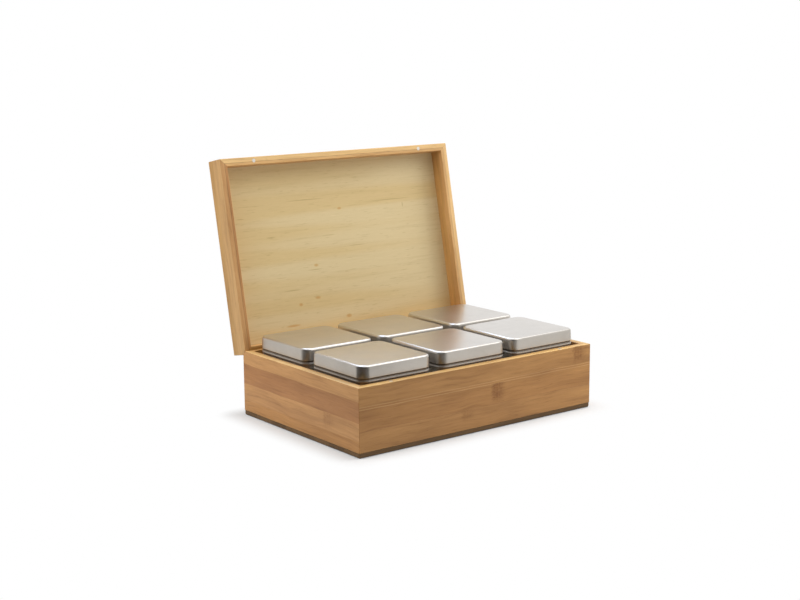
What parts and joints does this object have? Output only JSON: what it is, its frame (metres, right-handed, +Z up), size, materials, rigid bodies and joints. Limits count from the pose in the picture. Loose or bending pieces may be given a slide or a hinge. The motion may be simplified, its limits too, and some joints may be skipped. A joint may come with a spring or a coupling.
{
  "type": "tea bag organizer box",
  "caption": "Rectangular bamboo box with a hinged lid standing open, divided into cells that hold square slip-lid metal tins for tea bags.",
  "frame": {"origin": "centre of the underside of the base board, on the table", "axes": "+X to the right along the length, seen from the front; +Y from the front towards the hinges at the back; +Z up. The lid stands open at rest."},
  "size_m": [0.295, 0.2577, 0.2591],
  "materials": {
    "bamboo": "laminated carbonised bamboo strips under satin lacquer",
    "bamboo_ply": "pale bamboo veneer board, satin lacquer",
    "dark_bamboo": "dark stained bamboo, satin lacquer",
    "hinge_brass": "turned, bright",
    "pin_steel": "ground",
    "magnet_nickel": "nickel plated, bright",
    "tinplate": "bare tinplate, fine satin"
  },
  "bodies": {
    "case": {"base_plate": "dark_bamboo", "floor_panel": "bamboo_ply", "case_front_wall": "bamboo", "case_back_wall": "bamboo", "case_left_wall": "bamboo", "case_right_wall": "bamboo", "long_divider": "bamboo_ply", "cross_divider_left": "bamboo_ply", "cross_divider_right": "bamboo_ply", "hinge_case_barrel_left": "hinge_brass", "hinge_case_barrel_right": "hinge_brass", "hinge_pin_left": "pin_steel", "hinge_pin_right": "pin_steel", "case_magnet_left": "magnet_nickel", "case_magnet_right": "magnet_nickel"},
    "lid": {"lid_front_rail": "bamboo", "lid_back_rail": "bamboo", "lid_left_rail": "bamboo", "lid_right_rail": "bamboo", "lid_panel": "bamboo_ply", "hinge_lid_barrel_left": "hinge_brass", "hinge_lid_barrel_right": "hinge_brass", "lid_magnet_left": "magnet_nickel", "lid_magnet_right": "magnet_nickel"},
    "tin_front_left": {"tin_front_left": "tinplate"},
    "tin_front_middle": {"tin_front_middle": "tinplate"},
    "tin_front_right": {"tin_front_right": "tinplate"},
    "tin_back_left": {"tin_back_left": "tinplate"},
    "tin_back_middle": {"tin_back_middle": "tinplate"},
    "tin_back_right": {"tin_back_right": "tinplate"},
    "tin_lid_front_left": {"tin_lid_front_left": "tinplate"},
    "tin_lid_front_middle": {"tin_lid_front_middle": "tinplate"},
    "tin_lid_front_right": {"tin_lid_front_right": "tinplate"},
    "tin_lid_back_left": {"tin_lid_back_left": "tinplate"},
    "tin_lid_back_middle": {"tin_lid_back_middle": "tinplate"},
    "tin_lid_back_right": {"tin_lid_back_right": "tinplate"}
  },
  "joints": [
    {"name": "lid_hinge", "type": "hinge", "parent": "case", "child": "lid", "pos_m": [0, 0.096, 0.0671], "axis": [-1, 0, 0], "range_deg": [-101.5, 0]},
    {"name": "tin_lift_front_left", "type": "slide", "parent": "case", "child": "tin_front_left", "axis": [0, 0, 1], "range_m": [0, 0.09]},
    {"name": "tin_lift_front_middle", "type": "slide", "parent": "case", "child": "tin_front_middle", "axis": [0, 0, 1], "range_m": [0, 0.09]},
    {"name": "tin_lift_front_right", "type": "slide", "parent": "case", "child": "tin_front_right", "axis": [0, 0, 1], "range_m": [0, 0.09]},
    {"name": "tin_lift_back_left", "type": "slide", "parent": "case", "child": "tin_back_left", "axis": [0, 0, 1], "range_m": [0, 0.09]},
    {"name": "tin_lift_back_middle", "type": "slide", "parent": "case", "child": "tin_back_middle", "axis": [0, 0, 1], "range_m": [0, 0.09]},
    {"name": "tin_lift_back_right", "type": "slide", "parent": "case", "child": "tin_back_right", "axis": [0, 0, 1], "range_m": [0, 0.09]},
    {"name": "tin_lid_lift_front_left", "type": "slide", "parent": "tin_front_left", "child": "tin_lid_front_left", "axis": [0, 0, 1], "range_m": [0, 0.03]},
    {"name": "tin_lid_lift_front_middle", "type": "slide", "parent": "tin_front_middle", "child": "tin_lid_front_middle", "axis": [0, 0, 1], "range_m": [0, 0.03]},
    {"name": "tin_lid_lift_front_right", "type": "slide", "parent": "tin_front_right", "child": "tin_lid_front_right", "axis": [0, 0, 1], "range_m": [0, 0.03]},
    {"name": "tin_lid_lift_back_left", "type": "slide", "parent": "tin_back_left", "child": "tin_lid_back_left", "axis": [0, 0, 1], "range_m": [0, 0.03]},
    {"name": "tin_lid_lift_back_middle", "type": "slide", "parent": "tin_back_middle", "child": "tin_lid_back_middle", "axis": [0, 0, 1], "range_m": [0, 0.03]},
    {"name": "tin_lid_lift_back_right", "type": "slide", "parent": "tin_back_right", "child": "tin_lid_back_right", "axis": [0, 0, 1], "range_m": [0, 0.03]}
  ]
}
